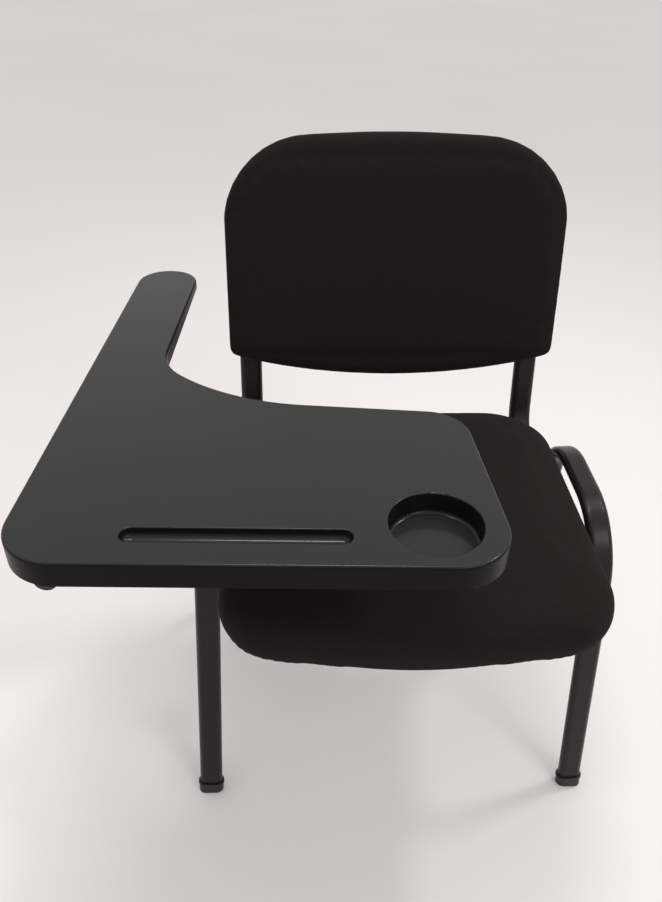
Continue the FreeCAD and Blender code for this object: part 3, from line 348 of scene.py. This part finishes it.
SIDE_SHARE = 0.5
FOAM_STOP = 0.8
SWELL_FRAMES = 20
SWELL_PRESSURE = 4.0
SEAT_MIDDLE = -0.012
HELD_TOP = 0.040
HELD_FADE = 0.034
TUCK_HEIGHT = 0.004
TUCK_BAND = 0.007
TUCK_TURNS = 150
TUCK_DEPTH = 0.0008
CORNER_POWER = 4
WRAP_TOP = 0.007
WRAP_FADE = 0.005
WRAP_PROUD = 0.0022
CLOTH_DARK = (0.0074, 0.0065, 0.0053, 1)
CLOTH_LIGHT = (0.0222, 0.0196, 0.0164, 1)
THREAD_PITCH = 0.0016
THREAD_RELIEF = 0.00035
SLUB_RELIEF = 0.0009


def only(piece):
    """Makes one object the only selected and active one."""
    bpy.ops.object.select_all(action="DESELECT")
    piece.select_set(True)
    bpy.context.view_layer.objects.active = piece


def applied(piece, kind, **settings):
    """Adds a modifier with its settings and applies it."""
    only(piece)
    modifier = piece.modifiers.new(kind.title(), kind)
    for name, value in settings.items():
        setattr(modifier, name, value)
    bpy.ops.object.modifier_apply(modifier=modifier.name)


def stuffed(name, cover, filling, voxel, shrink, facing):
    """One closed solid round a cover and its filling, laid on the cover and drawn in a little where it
    is open to the sitter."""
    joined = bmesh.new()
    for source in (cover, *filling):
        joined.from_mesh(nodes[source].data)
    bmesh.ops.remove_doubles(joined, verts=joined.verts, dist=1e-6)
    mesh = bpy.data.meshes.new(name)
    joined.to_mesh(mesh)
    joined.free()
    piece = bpy.data.objects.new(name, mesh)
    bpy.context.scene.collection.objects.link(piece)
    applied(piece, "REMESH", mode="VOXEL", voxel_size=voxel)
    applied(piece, "SMOOTH", factor=0.5, iterations=8)
    applied(piece, "SHRINKWRAP", target=nodes[cover], wrap_method="PROJECT", use_negative_direction=False,
            use_positive_direction=True, cull_face="FRONT", project_limit=0.009)
    applied(piece, "SMOOTH", factor=0.4, iterations=2)
    inward = shrink * np.clip(normals_of(piece.data) @ np.array(facing) + SIDE_SHARE, 0.0, 1.0)
    set_points(piece.data, points_of(piece.data) - normals_of(piece.data) * inward[:, None])
    return piece


def swell(piece, held, cap):
    """Blows the cloth up over its filling. Held points stay, no point moves further than cap, and the
    foam stops the cloth from going in."""
    rest = points_of(piece.data)
    normals = normals_of(piece.data)
    group = piece.vertex_groups.new(name="stapled")
    for index in np.nonzero(held > 0)[0]:
        group.add([int(index)], float(held[index]), "REPLACE")
    only(piece)
    cloth = piece.modifiers.new("Cloth", "CLOTH")
    cloth.settings.quality = 4
    cloth.settings.use_pressure = True
    cloth.settings.uniform_pressure_force = SWELL_PRESSURE
    cloth.settings.effector_weights.gravity = 0.0
    cloth.settings.vertex_group_mass = "stapled"
    cloth.collision_settings.use_collision = False
    cloth.point_cache.frame_end = SWELL_FRAMES
    for number in range(1, SWELL_FRAMES + 1):
        bpy.context.scene.frame_set(number)
    bpy.ops.object.modifier_apply(modifier=cloth.name)
    bpy.context.scene.frame_set(1)
    moved = points_of(piece.data) - rest
    reach = np.linalg.norm(moved, axis=1, keepdims=True)
    moved = moved * np.minimum(1.0, cap / np.maximum(reach, 1e-9))
    inward = np.minimum((moved * normals).sum(axis=1, keepdims=True), 0.0)
    set_points(piece.data, rest + moved - normals * inward * FOAM_STOP)
    piece.vertex_groups.clear()


def cloth_map(piece, across, along):
    """UV map in metres on the cloth: each face takes the two of its directions that it lies along."""
    mesh = piece.data
    corners = np.empty(len(mesh.loops), int)
    mesh.loops.foreach_get("vertex_index", corners)
    points = points_of(mesh)[corners]
    facing = np.empty(len(mesh.polygons) * 3)
    mesh.polygons.foreach_get("normal", facing)
    counts = np.empty(len(mesh.polygons), int)
    mesh.polygons.foreach_get("loop_total", counts)
    facing = np.repeat(facing.reshape(-1, 3), counts, axis=0)
    across = np.array(across)
    along = np.array(along)
    out = np.cross(across, along)
    sides = abs(facing @ across) > np.maximum(abs(facing @ out), abs(facing @ along))
    ends = abs(facing @ along) > np.maximum(abs(facing @ out), abs(facing @ across))
    u = np.where(sides, points @ out, points @ across)
    v = np.where(ends, points @ out, points @ along)
    layer = mesh.uv_layers.new(name="cloth")
    layer.data.foreach_set("uv", np.stack([u, v], axis=1).ravel())


seat_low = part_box("seat_cover")[0]
seat_cushion = stuffed("seat_cushion", "seat_cover", ("seat_foam", "seat_board"), voxel=0.005, shrink=0.0015,
                       facing=(0, 0, 1))
points = points_of(seat_cushion.data)
held = np.clip((seat_low.z + HELD_TOP - points[:, 2]) / HELD_FADE, 0.0, 1.0)
swell(seat_cushion, held, cap=0.003)
applied(seat_cushion, "SUBSURF", levels=1, render_levels=1)
points = points_of(seat_cushion.data)
round_middle = np.arctan2(points[:, 1] - SEAT_MIDDLE, points[:, 0])
corner = np.abs(np.sin(2 * round_middle)) ** CORNER_POWER
low_edge = np.exp(-((points[:, 2] - seat_low.z - TUCK_HEIGHT) / TUCK_BAND) ** 2)
tuck = corner * low_edge * (0.5 + 0.5 * np.sin(round_middle * TUCK_TURNS))
wrapped = np.clip((seat_low.z + WRAP_TOP - points[:, 2]) / WRAP_FADE, 0.0, 1.0)
outward = wrapped * WRAP_PROUD - tuck * TUCK_DEPTH
set_points(seat_cushion.data, points + normals_of(seat_cushion.data) * outward[:, None])
applied(seat_cushion, "SMOOTH", factor=0.5, iterations=4)
smooth_shaded(seat_cushion)
cloth_map(seat_cushion, across=(1, 0, 0), along=(0, 1, 0))

woven_black, place, feed = finish("woven_black_cloth", {"Specular IOR Level": 0.03, "Sheen Weight": 0.03,
                                                        "Sheen Roughness": 0.45,
                                                        "Sheen Tint": (0.55, 0.5, 0.46, 1)})
cloth = place.make("ShaderNodeUVMap", {"uv_map": "cloth"}, {})
thread_turn = 2 * math.pi / THREAD_PITCH
u = cloth.part("X")
v = cloth.part("Y")
warp = (u * thread_turn).sine()
weft = (v * thread_turn).sine()
over = (u * (thread_turn / 2)).sine() * (v * (thread_turn / 2)).sine()
thread = over.ramp(-0.25, 0.25)
weave = thread * (warp * 0.5 + 0.5) + (1 - thread) * (weft * 0.5 + 0.5)
slub = place.noise(190.0, detail=4.0, roughness=0.6)
fibre = place.noise(1700.0)
worn = place.noise(7.0, detail=3.0)
uneven = (slub * 0.6 + worn * 0.4).relief(SLUB_RELIEF, strength=0.25)
feed("Base Color", (weave * 0.45 + slub * 0.3 + fibre * 0.25).between(CLOTH_DARK, CLOTH_LIGHT))
feed("Roughness", 0.80 + fibre * 0.1 + worn * 0.06)
feed("Normal", (weave * 0.7 + fibre * 0.3).relief(THREAD_RELIEF, strength=0.55, under=uneven))
seat_cushion.data.materials.append(woven_black)
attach(seat_cushion, "frame")
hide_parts("seat_cover", "seat_foam")


# Back cushion: thinner foam on the curved back board, in the same cloth, tight over the round top and
# the sharper lower corners, and tucked in behind its edge under the plastic shell.

BACK_SLOPE = math.radians(11.2)
HELD_FACING = 0.55

up_the_back = np.array((0.0, math.sin(BACK_SLOPE), math.cos(BACK_SLOPE)))
out_of_back = np.array((0.0, -math.cos(BACK_SLOPE), math.sin(BACK_SLOPE)))
back_cushion = stuffed("back_cushion", "back_cover", ("back_foam", "back_board"), voxel=0.0045, shrink=0.001,
                       facing=out_of_back)
held = np.clip(HELD_FACING - normals_of(back_cushion.data) @ out_of_back, 0.0, 1.0)
swell(back_cushion, held, cap=0.0025)
applied(back_cushion, "SUBSURF", levels=1, render_levels=1)
smooth_shaded(back_cushion)
cloth_map(back_cushion, across=(1, 0, 0), along=up_the_back)
back_cushion.data.materials.append(woven_black)
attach(back_cushion, "frame")
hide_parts("back_cover", "back_foam")


# Tablet: one large moulding in dark grey ABS with a pen groove, a cup recess and a ribbed underside.
# Its fine matt grain is painted lighter on the level top and darker on the sides and underside, as painted
# light from above and painted shade below; hands polish it a little, and a few faint hairline scratches cross
# it.

# The first pair colours the sides and underside in painted shade; the second pair colours the level top in
# painted light from above.
TABLET_DARK = (0.0060, 0.0058, 0.0049, 1)
TABLET_LIGHT = (0.0098, 0.0095, 0.0080, 1)
LIT_TOP_DARK = (0.0150, 0.0166, 0.0130, 1)
LIT_TOP_LIGHT = (0.0236, 0.0260, 0.0206, 1)
SCRATCH_COLOUR = (0.06, 0.061, 0.057, 1)
SCRATCH_TURN = (0, 0, 0.5)
TABLET_GRAIN = 0.00010

tablet_grey, place, feed = finish("matt_grey_tablet", {"Specular IOR Level": 0.06, "Coat Roughness": 0.15})
grain = place.noise(1300.0, detail=3.0, roughness=0.6)
smear = place.noise(9.0, detail=4.0, roughness=0.55)
streaks = place.make("ShaderNodeMapping", {}, {"Vector": place, "Scale": (1.0, 14.0, 1.0),
                                               "Rotation": SCRATCH_TURN})
hairline = streaks.noise(60.0, roughness=0.4).ramp(0.70, 0.74)
scratch = hairline * place.noise(16.0).ramp(0.5, 0.62)
# Painted light and shade: faces that point up take the lighter top colours, and the sides and underside take
# the darker ones.
level = place.make("ShaderNodeTexCoord", {}, {}, "Normal").part("Z").ramp(0.5, 0.95)
mottle = smear * 0.6 + grain * 0.4
painted_shade_sides = mottle.between(TABLET_DARK, TABLET_LIGHT)
painted_lit_top = mottle.between(LIT_TOP_DARK, LIT_TOP_LIGHT)
feed("Base Color", (scratch * 0.25).between(level.between(painted_shade_sides, painted_lit_top), SCRATCH_COLOUR))
feed("Roughness", 0.24 + smear * 0.08 + grain * 0.05)
feed("Coat Weight", level * (0.44 - smear * 0.1))
feed("Normal", grain.relief(TABLET_GRAIN, strength=0.5))
dress(tablet_grey, "tablet_top")


# Rest buffer: a turned rubber button pressed into the tongue, which the level tablet lies on. A dull
# bloom comes and goes over the rubber.

RUBBER_DARK = (0.010, 0.010, 0.010, 1)
RUBBER_LIGHT = (0.022, 0.022, 0.021, 1)
RUBBER_GRAIN = 0.0001

rubber, place, feed = finish("buffer_rubber", {"Specular IOR Level": 0.35})
bloom = place.noise(120.0, detail=4.0)
feed("Base Color", bloom.between(RUBBER_DARK, RUBBER_LIGHT))
feed("Roughness", 0.7 + bloom * 0.15)
feed("Normal", place.noise(900.0).relief(RUBBER_GRAIN, strength=0.4))
dress(rubber, "rest_buffer")


# Studio: a wide pale floor under an even pale sky, a few soft lamps above and in front, and the camera
# at the photograph's viewing angle, looking down on the chair.

FLOOR_SIZE = 300.0
FLOOR_DARK = (0.83, 0.805, 0.785, 1)
FLOOR_LIGHT = (0.88, 0.86, 0.845, 1)
GLOW_BELOW = (0.20, 0.20, 0.20, 1)
GLOW_ABOVE = (0.78, 0.77, 0.755, 1)
BACKDROP = (0.84, 0.82, 0.805, 1)
SENSOR = 36.0
FOCAL_PIXELS = 800.2
PICTURE_HEIGHT = 902
CAMERA_PLACE = (-0.117497, -0.747405, 1.032189)
CAMERA_ACROSS = Vector((0.99948383, -0.02880249, 0.01422967))
CAMERA_DOWN = Vector((-0.00493585, -0.5753534, -0.81789003))
CAMERA_AHEAD = Vector((0.03174436, 0.81739763, -0.57519859))

bpy.ops.object.select_all(action="DESELECT")
bpy.ops.mesh.primitive_plane_add(size=FLOOR_SIZE)
floor = bpy.context.active_object
floor.name = "studio_floor"
pale, place, feed = finish("pale_floor", {"Roughness": 0.9, "Specular IOR Level": 0.15})
feed("Base Color", place.noise(0.9).between(FLOOR_DARK, FLOOR_LIGHT))
floor.data.materials.append(pale)

world = bpy.data.worlds.new("studio")
bpy.context.scene.world = world
world.use_nodes = True
room = world.node_tree
direction = Value(room, room.nodes.new("ShaderNodeTexCoord").outputs["Generated"])
rays = room.nodes.new("ShaderNodeLightPath")
seen = Value(room, rays.outputs["Is Camera Ray"])
seen = seen.larger(Value(room, rays.outputs["Is Glossy Ray"]))
seen = seen.larger(Value(room, rays.outputs["Is Transmission Ray"]))
glow = direction.part("Z").ramp(-0.1, 0.25).between(GLOW_BELOW, GLOW_ABOVE)
room.links.new(seen.between(glow, BACKDROP).socket, room.nodes["Background"].inputs["Color"])


def soft_lamp(name, stand, target, size, power, spread, colour):
    """An oval area lamp at its stand, turned to its target. The spread is in degrees."""
    lamp = bpy.data.lights.new(name, "AREA")
    lamp.shape = "ELLIPSE"
    lamp.size = size[0]
    lamp.size_y = size[1]
    lamp.energy = power
    lamp.spread = math.radians(spread)
    lamp.color = colour
    light = bpy.data.objects.new(name, lamp)
    light.location = stand
    light.rotation_euler = (Vector(target) - Vector(stand)).to_track_quat("-Z", "Y").to_euler()
    bpy.context.scene.collection.objects.link(light)


soft_lamp("key", stand=(-0.3, 0.9, 5.0), target=(-0.1, 0.8, 0.0), size=(3.6, 3.6), power=1.0, spread=46.0,
          colour=(1.0, 0.985, 0.965))
soft_lamp("strip", stand=(-0.12, 0.22, 2.7), target=(-0.12, -0.2, 0.6), size=(0.9, 0.22), power=6.0,
          spread=120.0, colour=(1.0, 0.99, 0.975))
soft_lamp("spark", stand=(1.5, 0.7, 2.9), target=(0.1, 0.0, 0.4), size=(0.4, 0.4), power=7.0, spread=120.0,
          colour=(1.0, 0.99, 0.98))
soft_lamp("fill", stand=(1.4, -1.85, 2.55), target=(0.0, 0.1, 0.55), size=(1.2, 1.2), power=9.0,
          spread=140.0, colour=(1.0, 0.985, 0.97))

lens = bpy.data.cameras.new("photo_camera")
lens.sensor_width = SENSOR
lens.lens = FOCAL_PIXELS / PICTURE_HEIGHT * SENSOR
camera = bpy.data.objects.new("photo_camera", lens)
turn = Matrix((CAMERA_ACROSS, -CAMERA_DOWN, -CAMERA_AHEAD)).transposed().to_4x4()
camera.matrix_world = Matrix.Translation(CAMERA_PLACE) @ turn
bpy.context.scene.collection.objects.link(camera)
bpy.context.scene.camera = camera

bpy.context.scene.view_settings.view_transform = "Standard"
